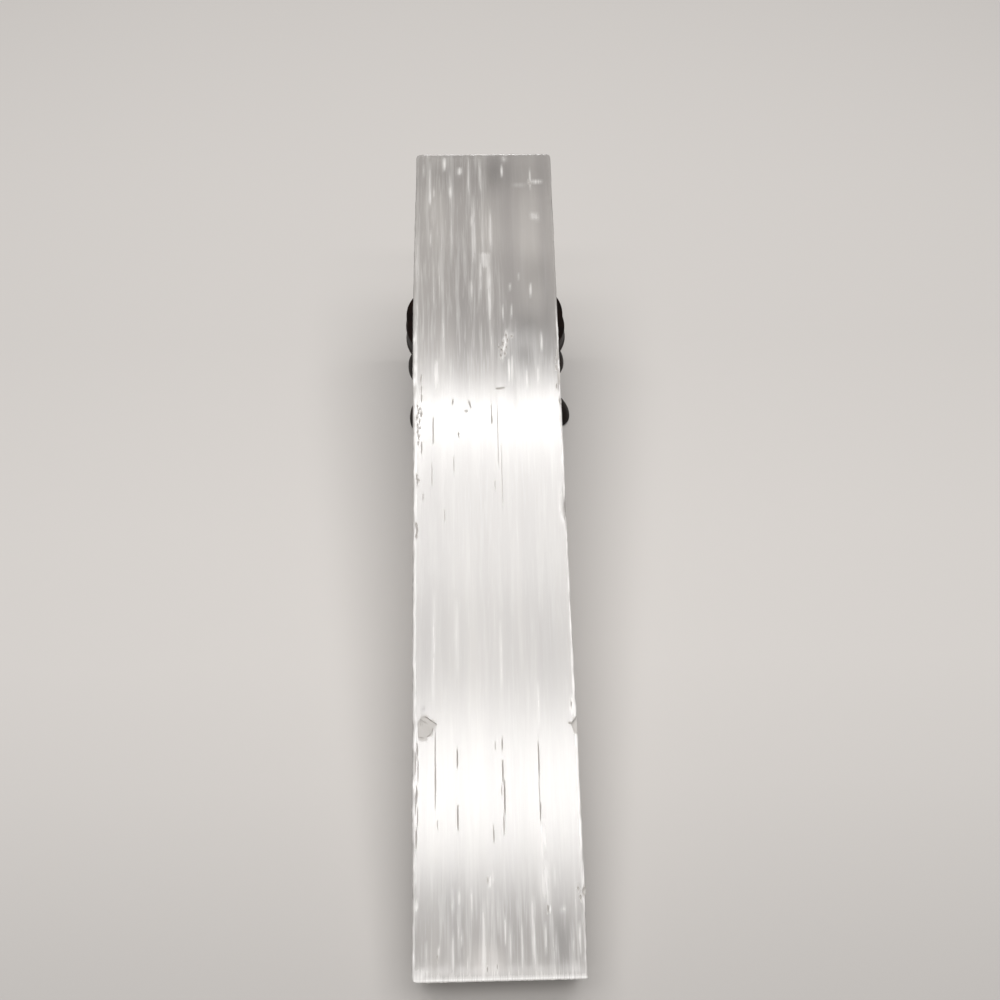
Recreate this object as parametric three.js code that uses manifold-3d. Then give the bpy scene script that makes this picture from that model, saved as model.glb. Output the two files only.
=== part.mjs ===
// A long block of satin spar selenite, leaning with its foot on the ground and its back on a small
// carved wooden stand. Millimetres, +Z up, +Y along the block towards its raised end.
import * as THREE from 'three';
import { mergeVertices } from 'three/addons/utils/BufferGeometryUtils.js';
import Module from 'manifold-3d';

const wasm = await Module();
wasm.setup();

// ---------------------------------------------------------------- driving dimensions

const LEAN = THREE.MathUtils.degToRad(17.4);
const SEAT_GAP = 0.3;

const BLOCK = {
  width: 35.6,
  length: 203,
  thickness: 20,
  offsetX: 0.09,
  restFlat: 2.2,
  cellsAcross: 14,
  cellsAlong: 60,
  cellsThrough: 8,
};

const STAND = {
  fromFoot: 162.5,
  turn: THREE.MathUtils.degToRad(2.6),
  plateRadius: 21.7,
  plateThickness: 5.2,
  petals: 10,
  petalDepth: 0.6,
  drumRadius: 18.2,
  drumBottom: 19.5,
  neckRadius: 16.4,
  archRadius: 5.2,
  archSpread: 0.9,
  legWidth: 5.8,
  legRounding: 1.1,
  footKick: { right: 2.4, back: 0.3, left: -0.85, front: 0 },
  kickHeight: 16,
};

// Height of the sharp lower corner that the resting flat takes away.
const GROUND_CUT = BLOCK.restFlat * Math.sin(LEAN) * Math.cos(LEAN);

const COLOURS = {
  selenite: 0xd9d5d0,
  rosewood: 0x2a1a15,
};

// ---------------------------------------------------------------- shared helpers

const clamp01 = (x) => THREE.MathUtils.clamp(x, 0, 1);
const bump = (x, centre, halfWidth) => clamp01(1 - Math.abs(x - centre) / halfWidth);

// One closed surface for each solid: seams are merged and needle triangles dropped.
function weld(geometry) {
  const bare = geometry.clone();
  bare.deleteAttribute('normal');
  bare.deleteAttribute('uv');
  const merged = mergeVertices(bare, 1e-4);
  const index = merged.getIndex().array;
  const kept = [];
  for (let i = 0; i < index.length; i += 3) {
    const [a, b, c] = index.slice(i, i + 3);
    if (a !== b && b !== c && c !== a) {
      kept.push(a, b, c);
    }
  }
  merged.setIndex(kept);
  return merged;
}

function toSolid(geometry) {
  const welded = weld(geometry);
  const vertProperties = new Float32Array(welded.getAttribute('position').array);
  const triVerts = new Uint32Array(welded.getIndex().array);
  return new wasm.Manifold(new wasm.Mesh({ numProp: 3, vertProperties, triVerts }));
}

function toGeometry(solid) {
  const mesh = solid.getMesh();
  const geometry = new THREE.BufferGeometry();
  geometry.setAttribute('position', new THREE.BufferAttribute(mesh.vertProperties, 3));
  geometry.setIndex(new THREE.BufferAttribute(mesh.triVerts, 1));
  geometry.computeVertexNormals();
  return geometry;
}

function makeMesh(name, geometry, material) {
  const mesh = new THREE.Mesh(geometry, material);
  mesh.name = name;
  return mesh;
}

function seleniteMaterial() {
  return new THREE.MeshStandardMaterial({ color: COLOURS.selenite, roughness: 0.35, metalness: 0 });
}

function rosewoodMaterial() {
  return new THREE.MeshStandardMaterial({ color: COLOURS.rosewood, roughness: 0.3, metalness: 0 });
}

// ---------------------------------------------------------------- selenite block

// The block's own frame: x across, y along the fibres from the foot, z out of the front face.

// Grid lines crowd towards the arrises, where the worn edges and chips are.
const crowd = (s, power) => Math.sign(s) * (1 - (1 - Math.abs(s)) ** power);

// Splinters knocked out of the long front arrises: side, place along the block, half length, depth.
const ARRIS_CHIPS = [
  { side: -1, along: 55, half: 5, depth: 1.6 },
  { side: -1, along: 114, half: 9, depth: 0.7 },
  { side: -1, along: 132, half: 14, depth: 0.5 },
  { side: 1, along: 56, half: 4, depth: 1.4 },
  { side: 1, along: 93, half: 14, depth: 0.7 },
  { side: 1, along: 136, half: 8, depth: 0.5 },
];

function chipAt(side, along) {
  return ARRIS_CHIPS.filter((chip) => chip.side === side)
    .reduce((sum, chip) => sum + chip.depth * bump(along, chip.along, chip.half), 0);
}

// How far the worn bevel of a long arris reaches in from the sharp corner.
function longArris(side, front, along) {
  const base = front ? (side < 0 ? 0.9 : 0.55) : 0.8;
  const wander = 0.18 * Math.sin(along * 0.21 + side) + 0.12 * Math.sin(along * 0.53 + 2 * side);
  return base + wander + (front ? chipAt(side, along) : 0);
}

// The sides are not quite straight: each swells a little over part of its length.
function sideSwell(side, along) {
  return side < 0 ? 0.8 * bump(along, 148, 62) ** 0.7 : 0.26 * bump(along, 42, 40) ** 0.7;
}

// The upright arrises of the two ends, as seen from the front.
function endArris(side, raised) {
  if (raised) {
    return side < 0 ? 1.3 : 1.4;
  }
  return side < 0 ? 0.9 : 0.4;
}

// Satin spar splits along its fibres, which leaves long shallow steps on the sides and the back.
function fibreLedge(across, along, seed) {
  const drift = 1.6 * Math.sin(along * 0.013 + seed) + 0.7 * Math.sin(along * 0.047 + 2 * seed);
  const broad = Math.sin((across + drift) * 0.62 + seed);
  const narrow = Math.sin((across - drift) * 1.27 + 3 * seed);
  const steps = broad + 0.6 * narrow;
  return 0.17 * Math.sign(steps) * Math.min(1, Math.abs(steps) * 2.5) - 0.17;
}

// Bundles of fibres end at slightly different lengths.
function ragged(x, z, amount, seed) {
  return -amount * (0.5 + 0.5 * Math.sin(x * 2.3 + 1.7 * Math.sin(z * 0.9 + seed) + seed));
}

function shapeBlockPoint(point, unit) {
  const halfWidth = BLOCK.width / 2;
  const { length, thickness } = BLOCK;
  const side = unit.x < 0 ? -1 : 1;
  const raised = unit.y > 0;
  const front = unit.z > 0;
  let x = halfWidth * crowd(unit.x, 1.9);
  let y = length * (0.5 + 0.5 * crowd(unit.y, 1.12));
  let z = thickness * (0.5 * crowd(unit.z, 1.7) - 0.5);

  const inFromSide = halfWidth - Math.abs(x);
  x += side * sideSwell(side, y) * Math.abs(unit.x);
  const inFromEnd = raised ? length - y : y;
  const inFromFace = front ? -z : thickness + z;
  const towardsMiddle = { x: -side, y: raised ? -1 : 1, z: front ? -1 : 1 };

  // Ledges fade out at the arrises, so that the outline stays straight.
  const onSide = inFromSide < 1e-6 ? clamp01(inFromFace / 3) : 0;
  const onBack = !front && inFromFace < 1e-6 ? clamp01(inFromSide / 3) * clamp01((y - 6) / 6) : 0;
  x += side * onSide * fibreLedge(z, y, 1.3 + side);
  z -= onBack * fibreLedge(x, y, 4.1);

  // A worn bevel cuts each pair of neighbouring faces along the diagonal between them.
  const bevel = (width, a, b) => Math.max(0, (width - a - b) / 2);
  const alongCut = bevel(longArris(side, front, y), inFromSide, inFromFace);
  const endCut = bevel(endArris(side, raised), inFromSide, inFromEnd);
  const lipCut = bevel(raised ? 0.7 : 0.5, inFromFace, inFromEnd);
  x += towardsMiddle.x * Math.max(alongCut, endCut);
  y += towardsMiddle.y * Math.max(endCut, lipCut);
  z += towardsMiddle.z * Math.max(alongCut, lipCut);

  if (inFromEnd < 1e-6) {
    y += raised ? ragged(x, z, 0.5, 0.4) : -ragged(x, z, 0.3, 2.1);
  }
  point.set(x, y, z);
}

// The lower back arris is ground flat where the block stands on it: a cut parallel to the ground.
function groundCutter() {
  const slab = new THREE.BoxGeometry(BLOCK.width * 2, 40, 20);
  slab.translate(0, 0, -10);
  slab.rotateX(-LEAN);
  slab.translate(0, GROUND_CUT * Math.sin(LEAN), GROUND_CUT * Math.cos(LEAN) - BLOCK.thickness);
  return slab;
}

function makeBlock() {
  const { cellsAcross, cellsAlong, cellsThrough } = BLOCK;
  const geometry = new THREE.BoxGeometry(2, 2, 2, cellsAcross, cellsAlong, cellsThrough);
  const position = geometry.getAttribute('position');
  const point = new THREE.Vector3();
  const unit = new THREE.Vector3();
  for (let i = 0; i < position.count; i += 1) {
    unit.fromBufferAttribute(position, i);
    shapeBlockPoint(point, unit);
    position.setXYZ(i, point.x, point.y, point.z);
  }
  const solid = toSolid(geometry).subtract(toSolid(groundCutter()));
  return makeMesh('selenite_block', toGeometry(solid), seleniteMaterial());
}

// ---------------------------------------------------------------- wooden stand

// Petals reach half their depth outside the plate's radius, and the valleys half inside it. The plate's
// top meets the block's leaning back with the nearest point of its rim.
const groundToBack = (y) => y * Math.tan(LEAN) - GROUND_CUT;
const RIM_CONTACT_Y = STAND.fromFoot - STAND.plateRadius - STAND.petalDepth / 2;
const PLATE_TOP = groundToBack(RIM_CONTACT_Y) - SEAT_GAP / Math.cos(LEAN);
const PLATE_BOTTOM = PLATE_TOP - STAND.plateThickness;
const DRUM_TOP = PLATE_BOTTOM - SEAT_GAP;

const lathePoints = (pairs) => pairs.map(([r, z]) => new THREE.Vector2(r, z));

// A lathe turns about +Y, so its solid is stood up along +Z.
function lathe(pairs, segments) {
  const geometry = new THREE.LatheGeometry(lathePoints(pairs), segments);
  geometry.rotateX(Math.PI / 2);
  return geometry;
}

// The round plate with a shallow dish and a petalled edge, its rim fullest at the lower lip.
function makePlate() {
  const r = STAND.plateRadius;
  const top = PLATE_TOP;
  const bottom = PLATE_BOTTOM;
  const geometry = lathe([
    [0, bottom],
    [r - 1.6, bottom],
    [r - 0.1, bottom + 0.4],
    [r + 0.3, bottom + 1.0],
    [r, bottom + 2.1],
    [r, top - 0.7],
    [r - 0.4, top - 0.2],
    [r - 1.2, top],
    [r - 3.4, top],
    [r - 4.2, top - 0.8],
    [0, top - 0.8],
  ], STAND.petals * 6);
  const position = geometry.getAttribute('position');
  const rimStart = r - 3.0;
  for (let i = 0; i < position.count; i += 1) {
    const x = position.getX(i);
    const y = position.getY(i);
    const radius = Math.hypot(x, y);
    const azimuth = Math.atan2(y, x);
    const petal = Math.abs(Math.sin(0.5 * STAND.petals * azimuth));
    const rim = clamp01((radius - rimStart) / (r - rimStart));
    const scale = 1 + (rim * STAND.petalDepth * (petal - 0.5)) / r;
    position.setXY(i, x * scale, y * scale);
  }
  return makeMesh('stand_top', weld(geometry), rosewoodMaterial());
}

// Neck, bead and apron in one turned outline.
function drumProfile() {
  const r = STAND.drumRadius;
  const low = STAND.drumBottom;
  const neck = STAND.neckRadius;
  return [
    [0, low],
    [r - 1.4, low],
    [r - 0.2, low + 1.2],
    [r, low + 3.2],
    [r - 0.3, low + 6.6],
    [r - 1.0, low + 8.4],
    [r - 0.4, low + 9.2],
    [r - 0.4, low + 10.0],
    [r - 1.2, low + 10.6],
    [neck, low + 11.4],
    [neck, DRUM_TOP - 1.6],
    [neck + 1.0, DRUM_TOP],
    [0, DRUM_TOP],
  ];
}

// The drum under the plate: neck, bead and apron, its lower edge arched between the legs.
function makeApron() {
  let solid = toSolid(lathe(drumProfile(), 48));
  for (const azimuth of [Math.PI / 4, -Math.PI / 4]) {
    const arch = new THREE.CylinderGeometry(STAND.archRadius, STAND.archRadius, 60, 24);
    arch.scale(1, 1, STAND.archSpread);
    arch.rotateZ(azimuth);
    arch.translate(0, 0, STAND.drumBottom - 1.6);
    solid = solid.subtract(toSolid(arch));
  }
  return makeMesh('stand_apron', toGeometry(solid), rosewoodMaterial());
}

// The leg's side outline: knee under the plate, slim ankle, scrolled foot; x is outwards, y is up.
function legOutline() {
  const shape = new THREE.Shape();
  shape.moveTo(17.2, 29.8);
  shape.bezierCurveTo(20.4, 30.0, 22.5, 27.8, 22.3, 24.6);
  shape.bezierCurveTo(22.1, 20.8, 18.8, 19.2, 18.6, 14.6);
  shape.bezierCurveTo(18.6, 11.6, 22.0, 9.6, 23.2, 6.4);
  shape.bezierCurveTo(24.3, 3.6, 24.0, 1.0, 22.8, 0);
  shape.lineTo(17.2, 0);
  shape.bezierCurveTo(15.4, 1.2, 15.2, 3.2, 16.2, 4.6);
  shape.bezierCurveTo(14.8, 6.8, 14.0, 10.2, 14.4, 13.2);
  shape.bezierCurveTo(14.7, 15.6, 15.4, 17.4, 15.8, 20.6);
  return shape;
}

// Each knee is hollowed to sit round the drum, and shouldered to sit under it.
function shoulderCutter() {
  const low = STAND.drumBottom - SEAT_GAP;
  const radius = (STAND.drumRadius + SEAT_GAP) / Math.cos(Math.PI / 64);
  const cutter = new THREE.CylinderGeometry(radius, radius, DRUM_TOP - low, 64);
  cutter.rotateX(Math.PI / 2);
  cutter.translate(0, 0, (DRUM_TOP + low) / 2);
  return toSolid(cutter);
}

// Hand carving leaves each foot reaching out a little more or less than the next.
function kickFoot(leg, kick) {
  const position = leg.getAttribute('position');
  for (let i = 0; i < position.count; i += 1) {
    const low = clamp01(1 - position.getZ(i) / STAND.kickHeight);
    position.setX(i, position.getX(i) + kick * low * low * (3 - 2 * low));
  }
}

function makeLegGeometry(kick) {
  const { legWidth, legRounding } = STAND;
  const leg = new THREE.ExtrudeGeometry(legOutline(), {
    depth: legWidth,
    curveSegments: 5,
    bevelEnabled: true,
    bevelThickness: legRounding,
    bevelSize: legRounding,
    bevelOffset: -legRounding,
    bevelSegments: 1,
  });
  leg.translate(0, 0, -legWidth / 2);
  leg.rotateX(Math.PI / 2);
  kickFoot(leg, kick);
  return toGeometry(toSolid(leg).subtract(shoulderCutter()));
}

function makeLegs() {
  return Object.entries(STAND.footKick).map(([side, kick], quarter) => {
    const leg = makeMesh(`stand_leg_${side}`, makeLegGeometry(kick), rosewoodMaterial());
    leg.rotation.z = (quarter * Math.PI) / 2;
    return leg;
  });
}

function makeStand() {
  const stand = new THREE.Group();
  stand.add(makePlate(), makeApron(), ...makeLegs());
  stand.rotation.z = STAND.turn;
  stand.position.y = STAND.fromFoot;
  return stand;
}

// ---------------------------------------------------------------- assembly

// The ground plane is under the flat of the block's lower back arris.
function placeBlock(block) {
  block.rotation.x = LEAN;
  block.position.set(
    BLOCK.offsetX,
    -BLOCK.thickness * Math.sin(LEAN),
    BLOCK.thickness * Math.cos(LEAN) - GROUND_CUT,
  );
  return block;
}

const part = new THREE.Group();
part.add(placeBlock(makeBlock()), makeStand());
part.updateMatrixWorld(true);

// The origin is the middle of the whole outline, on the ground.
const outline = new THREE.Box3().setFromObject(part, true);
const middle = outline.getCenter(new THREE.Vector3());
for (const child of part.children) {
  child.position.x -= middle.x;
  child.position.y -= middle.y;
}

export default part;
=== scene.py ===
"""A block of satin spar selenite leaning on a small carved wooden stand.

Laid out as an add-on: settings in PropertyGroups, one Operator for each kind of piece and one for the
stage, and a Panel that lists them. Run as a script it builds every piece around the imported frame.
"""

import math

import bmesh
import bpy
import numpy as np
from bpy.props import FloatProperty, IntProperty, PointerProperty, StringProperty
from mathutils import Euler, Matrix, Vector


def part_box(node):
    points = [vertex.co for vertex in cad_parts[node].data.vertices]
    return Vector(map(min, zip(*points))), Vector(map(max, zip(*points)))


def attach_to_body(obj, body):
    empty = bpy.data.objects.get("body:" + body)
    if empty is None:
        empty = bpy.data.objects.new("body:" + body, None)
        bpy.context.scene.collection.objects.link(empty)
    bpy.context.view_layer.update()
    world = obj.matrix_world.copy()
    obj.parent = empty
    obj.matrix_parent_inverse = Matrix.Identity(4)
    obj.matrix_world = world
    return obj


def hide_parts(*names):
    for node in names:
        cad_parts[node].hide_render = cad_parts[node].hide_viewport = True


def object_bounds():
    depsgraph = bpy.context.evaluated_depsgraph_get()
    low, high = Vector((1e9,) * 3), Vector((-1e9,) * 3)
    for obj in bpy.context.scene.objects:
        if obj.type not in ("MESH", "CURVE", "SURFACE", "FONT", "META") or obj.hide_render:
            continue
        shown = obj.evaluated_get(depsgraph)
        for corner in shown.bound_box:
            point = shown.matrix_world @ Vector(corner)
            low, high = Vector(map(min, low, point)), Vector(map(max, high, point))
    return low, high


bl_info = {
    "name": "Selenite block on a stand",
    "version": (1, 0, 0),
    "blender": (4, 5, 0),
    "location": "3D View > Sidebar > Selenite",
    "description": "Builds a leaning selenite block, its carved wooden stand and a plain studio",
    "category": "Object",
}

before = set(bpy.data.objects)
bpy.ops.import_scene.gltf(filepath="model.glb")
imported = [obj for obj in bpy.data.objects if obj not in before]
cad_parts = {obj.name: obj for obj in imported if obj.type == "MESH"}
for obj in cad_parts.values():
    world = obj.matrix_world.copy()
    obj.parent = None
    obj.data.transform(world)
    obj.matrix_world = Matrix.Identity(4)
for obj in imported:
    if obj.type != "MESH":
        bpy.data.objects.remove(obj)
CAD_BOX = [list(corner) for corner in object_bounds()]

MM = 0.001
LEAN = math.radians(17.4)
THICKNESS = 20 * MM
# The lower back arris is ground to a flat this wide, on which the block stands.
GROUND_FLAT = 2.2 * MM

# The middle of the front face's lower edge. The block is shaped in a frame that starts here: x across,
# y along the fibres, z out of the front face. The worn edge, where the CAD's box ends, is 0.29 mm inside.
BLOCK_FOOT = Vector((
    -1.391 * MM,
    CAD_BOX[0][1] - 0.291 * MM,
    (THICKNESS - GROUND_FLAT * math.sin(LEAN)) * math.cos(LEAN),
))

# The stand is turned a little, and its plate sits a hair to the right of its box's middle.
PLATE_LOW, PLATE_HIGH = (Vector(corner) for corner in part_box("stand_top"))
STAND_CENTRE = Vector((*((PLATE_LOW + PLATE_HIGH) / 2).xy, 0)) + Vector((0.131, 0, 0)) * MM
STAND_TURN = math.radians(2.6)

# The marks on the front face are all in millimetres, across from the middle and along from the foot.

# Soft white veils where fibres have parted, and one painted glint by the foot: across, from, to, half width
# and strength.
VEILS = (
    # At the raised end.
    (-15.8, 194.5, 199.5, 0.3, 0.3), (-14.2, 185, 200.5, 0.3, 0.6), (-14.2, 186, 192.5, 0.25, 0.9),
    (-13.2, 188.5, 192, 0.25, 0.45), (-10.4, 197, 202, 0.4, 0.95), (-8.9, 188.5, 193, 0.35, 0.8),
    (-8.9, 186, 197, 0.25, 0.35), (-6.4, 195.5, 198.5, 0.55, 0.75), (-4.2, 189, 202, 0.3, 0.45),
    (-1.0, 190, 202.5, 0.4, 0.5), (4.7, 195, 199, 0.3, 0.95), (5.4, 199.5, 203, 0.75, 0.4),
    (12.1, 191, 198, 0.2, 0.7),
    # Below it, round the torn patch.
    (-14.0, 173.5, 179, 0.3, 0.35), (-13.2, 153, 171.5, 0.25, 0.35), (-3.7, 157.5, 164, 0.35, 0.4),
    (-3.2, 179, 183.5, 0.6, 0.55), (-3.1, 168, 190, 0.5, 0.5), (-1.4, 160, 172, 0.4, 0.6),
    (0.8, 151.5, 172, 0.45, 0.7), (1.5, 171.5, 185, 0.35, 0.6), (4.1, 151.5, 157, 0.25, 0.45),
    (6.0, 160.5, 163, 0.3, 0.5), (6.2, 152.5, 157, 0.25, 0.5), (8.3, 163.5, 166, 0.25, 0.3),
    (11.2, 158.5, 163, 0.25, 0.85), (13.5, 143, 149, 0.3, 0.6),
    # Where the upper bright band begins.
    (-12.7, 132, 141.5, 0.55, 0.7), (5.2, 134, 141.5, 0.25, 0.9), (6.0, 134, 142.5, 0.2, 0.8),
    (9.5, 132.5, 139, 0.2, 0.8), (12.3, 134, 139.5, 0.25, 0.5),
    # Between the bands.
    (-13.5, 56, 83, 0.4, 0.35), (-8.1, 61.5, 80.5, 0.45, 0.2), (1.7, 59, 75.5, 0.3, 0.3),
    (9.6, 50.5, 61.5, 0.25, 0.3),
    # Towards the foot.
    (-16.8, 13.5, 16, 0.25, 0.65), (-14.8, 3.5, 8.5, 0.25, 0.3), (-12.3, 4.5, 7.5, 0.25, 0.35),
    (-9.4, 13, 18.5, 0.25, 0.3), (-9.4, 1, 10, 0.25, 0.45), (-8.1, 14.5, 18, 0.25, 0.3),
    (-7.6, 6.5, 10, 0.2, 0.35), (-6.4, 1.5, 5.5, 0.2, 0.3), (-5.5, 12, 18.5, 0.2, 0.35),
    # The veil at -1.7 across, from 18 to 20.5, is a painted glint beside a small nick.
    (-3.3, 1, 16, 0.25, 0.45), (-1.7, 18, 20.5, 0.3, 0.7), (-1.0, 19, 21, 0.2, 0.35),
    (-0.1, 8.5, 17, 0.25, 0.3), (0.4, 6.5, 16, 0.2, 0.25), (1.3, 6.5, 13, 0.2, 0.6),
    (2.4, 4, 12, 0.25, 0.3), (4.7, 1, 11, 0.25, 0.45), (7.0, 1, 17, 0.35, 0.45), (9.4, 23, 31.5, 0.2, 0.9),
    (9.5, 4.5, 11.5, 0.25, 0.45), (9.8, 14.5, 23.5, 0.7, 0.55), (10.0, 25, 31.5, 0.2, 0.8),
    (10.2, 13.5, 19.5, 0.35, 0.5), (10.6, 13, 14.5, 0.2, 0.7), (11.7, 3, 10, 0.25, 0.3),
    (11.9, 17.5, 23, 0.25, 0.25), (13.3, 12.5, 14.5, 0.5, 0.35), (15.1, 1, 8.5, 0.2, 0.25),
    (16.5, 4.5, 11.5, 0.3, 0.5),
)

# Fine open splits along the fibres: across, from, to and strength.
SPLITS = (
    # Down the left arris.
    (-16.3, 135, 137.5, 0.3), (-16.3, 132, 134, 0.6), (-16.2, 129.5, 131, 0.5), (-17.1, 126, 128.5, 0.45),
    (-16.2, 125.5, 127, 0.5), (-17.0, 121.5, 123, 0.5), (-16.2, 115.5, 119.5, 0.6),
    (-17.2, 107.5, 110.5, 0.7), (-15.8, 104, 105.5, 0.3), (-17.2, 94.5, 98.5, 0.8), (-16.9, 44.5, 48, 0.8),
    (-17.3, 41.5, 46, 0.4), (-16.7, 39.5, 44.5, 0.5), (-16.95, 35, 39, 0.85), (-17.25, 33, 37.5, 0.45),
    (-16.75, 30.5, 34.5, 0.5), (-17.0, 26, 30, 0.7),
    # In the upper bright band.
    (-13.4, 118, 126, 0.15), (-13.7, 107.5, 113.5, 0.35), (-10.7, 98.5, 102, 0.25), (-8.6, 129, 130, 0.7),
    (-8.5, 110.5, 115.5, 0.25), (-7.3, 120, 121.5, 0.8), (0.7, 125.5, 129, 0.35), (0.7, 123.5, 126, 0.8),
    (1.2, 106.5, 109, 0.25), (2.1, 112, 128.5, 0.15), (2.9, 101, 119.5, 0.12),
    # In the lower bright band.
    (-13.0, 33.5, 51.5, 0.75), (-12.5, 30, 32, 0.3), (-8.2, 42.5, 46.5, 0.85), (-8.2, 29.5, 35, 0.85),
    (-0.7, 27, 30.5, 0.35), (0.0, 46, 48, 0.35), (1.5, 46, 48.5, 0.7), (1.5, 39.5, 44, 0.9),
    (1.8, 32.5, 39.5, 1.0), (1.2, 36.5, 38.5, 0.5), (1.5, 28.5, 32.5, 0.3), (9.3, 39.5, 48.5, 0.75),
    (9.2, 35.5, 39.5, 0.35), (9.3, 31, 35.5, 0.7),
    # At the foot.
    (-2.5, 2, 3, 0.5), (-0.5, 2.5, 3.5, 0.4), (10.2, 13, 14.5, 0.9),
)

# Chips with flat floors: outline (across, along), depth, and how many degrees the floor tips to the right.
CHIPS = (
    (((-16.2, 53.2), (-13.5, 51.0), (-12.6, 51.95), (-15.4, 53.7)), 0.34, 4),
    (((-16.25, 53.15), (-14.6, 49.2), (-13.75, 49.8), (-13.45, 51.1)), 0.28, -3),
    (((-16.3, 53.1), (-16.8, 52.0), (-16.7, 49.2), (-15.7, 48.6), (-14.5, 49.25)), 0.24, 3),
    (((16.6, 51.5), (17.3, 49.8), (19.0, 49.4), (19.0, 53.0), (17.9, 53.2)), 0.95, 0),
)

# Fine straight cracks: where they start and end (across, along), half width and half depth.
CRACKS = (
    # Round the chip on the left.
    ((-15.3, 53.75), (-13.1, 52.1), 0.13, 0.50), ((-15.5, 53.0), (-14.6, 51.8), 0.11, 0.45),
    ((-16.4, 52.9), (-16.1, 51.4), 0.10, 0.40), ((-13.6, 51.3), (-13.7, 50.0), 0.12, 0.45),
    ((-13.8, 49.9), (-15.1, 49.1), 0.13, 0.45), ((-15.2, 49.0), (-16.7, 49.2), 0.12, 0.40),
    # By the notch on the right, and one alone in the upper band.
    ((16.0, 51.7), (16.95, 51.6), 0.11, 0.30), ((16.85, 56.4), (16.83, 55.2), 0.10, 0.30),
    ((-4.9, 129.9), (-4.2, 127.9), 0.10, 0.30),
)

# Flakes knocked out of the front: middle (across, along, out of the face), then the cutter's half sizes.
FLAKES = (
    ((-18.2, 51.2, -0.5), (0.55, 1.5, 0.9)), ((17.7, 129.3, 0.1), (0.5, 0.8, 0.5)),
    ((17.5, 136.0, 0.2), (0.5, 2.3, 0.4)), ((17.6, 142.5, 0.2), (0.5, 2.0, 0.4)),
    ((18.0, 17.0, 0.1), (0.6, 0.9, 0.5)), ((18.1, 176.6, 0.1), (0.6, 0.8, 0.6)),
)

# Specks and nicks in the face: middle (across, along), then the cutter's half sizes.
SPECKS = (
    # A short nick, and the ragged patch above it.
    ((2.6, 133.1), (0.85, 0.08, 0.24)), ((3.6, 133.3), (0.5, 0.07, 0.18)),
    ((-5.3, 127.3), (0.6, 0.04, 0.1)), ((4.7, 147.6), (0.2, 0.5, 0.4)), ((6.1, 147.5), (0.4, 0.14, 0.25)),
    ((5.0, 146.2), (0.19, 0.6, 0.4)), ((3.9, 145.3), (0.2, 0.6, 0.4)), ((2.9, 144.4), (0.16, 0.4, 0.35)),
    ((4.7, 144.3), (0.18, 0.5, 0.35)), ((3.5, 143.5), (0.24, 0.5, 0.45)), ((4.3, 142.5), (0.18, 0.4, 0.35)),
    ((3.3, 142.0), (0.2, 0.45, 0.4)),
    # Down the left arris.
    ((-16.4, 135.9), (0.14, 0.9, 0.25)), ((-16.2, 131.0), (0.14, 0.7, 0.25)),
    ((-17.2, 128.6), (0.2, 0.25, 0.22)), ((-16.6, 127.7), (0.3, 0.12, 0.2)),
    ((-17.0, 126.7), (0.15, 0.25, 0.2)), ((-16.4, 126.2), (0.13, 0.3, 0.2)),
    ((-17.3, 125.4), (0.22, 0.12, 0.2)), ((-16.7, 124.4), (0.15, 0.25, 0.2)),
    ((-17.1, 123.4), (0.14, 0.3, 0.2)), ((-16.6, 122.7), (0.2, 0.14, 0.2)),
    ((-17.2, 121.6), (0.15, 0.3, 0.2)), ((-16.8, 120.4), (0.16, 0.5, 0.25)),
    ((-17.0, 118.6), (0.15, 0.6, 0.25)), ((-17.3, 110.0), (0.2, 0.5, 0.3)),
    ((-16.9, 109.2), (0.35, 0.16, 0.25)), ((-17.4, 98.0), (0.2, 0.5, 0.3)),
    ((-17.1, 96.6), (0.16, 0.6, 0.3)), ((-17.4, 95.3), (0.2, 0.4, 0.3)),
    # On the right arris, and a few alone.
    ((16.8, 141.0), (0.16, 0.5, 0.25)), ((16.9, 138.6), (0.2, 0.7, 0.25)),
    ((16.7, 133.5), (0.16, 0.6, 0.25)), ((16.6, 17.6), (0.25, 0.3, 0.2)), ((17.0, 15.9), (0.2, 0.4, 0.25)),
    ((-2.1, 19.4), (0.1, 0.5, 0.2)), ((12.1, 192.9), (0.2, 0.3, 0.25)), ((11.7, 193.6), (0.14, 0.25, 0.2)),
    ((-12.6, 4.9), (0.14, 0.6, 0.25)),
)

# Stretches that are darker or lighter, partly clearer and cloudier fibres and partly painted shade and light
# that shape how the face brightens and dims along the lamp bands: middle and reach across, middle and reach
# along, and how much lighter.
STRETCHES = (
    # At the raised end and down to the torn patch.
    (2.7, 6, 197, 10, -0.55), (-12, 6, 196, 8, -0.25), (-9, 10, 181, 13, 0.25), (-14, 6, 180, 30, 0.2),
    (4, 12, 180, 12, 0.2), (0, 6, 178, 13, 0.35), (12, 10, 178, 20, 0.45), (5, 13, 175, 8, 0.15),
    (12.5, 5.5, 166, 8, -0.4),
    # Above the upper bright band.
    (12, 8, 153, 10, -0.15), (11, 5, 149, 7, -0.35), (-12, 8, 144, 12, 0.3), (10.5, 10, 143, 15, -0.75),
    # Between the bands, and the grey spot above the chip.
    (-1.8, 7, 68, 28, 0.3), (-15.6, 0.9, 55.3, 1.3, -1.0),
    # Towards the foot.
    (-13, 6, 18, 9, -0.25), (-9, 9, 15, 11, -0.4), (3, 16, 12, 12, -0.25), (-1, 8, 11, 7, 0.15),
    (12.5, 5.5, 7.5, 9, -0.75), (-1, 8, 4.5, 4, 0.3), (-3, 6, 4, 6, 0.8), (-12, 5, 4, 5, 0.15),
    (-1, 7, 3, 4, 0.3),
)


# ---- nodes and colours

def linear(colour):
    """An sRGB hex colour as linear red, green, blue and alpha."""
    parts = [int(colour[i:i + 2], 16) / 255 for i in (1, 3, 5)]
    return [c / 12.92 if c <= 0.04045 else ((c + 0.055) / 1.055) ** 2.4 for c in parts] + [1.0]


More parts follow.
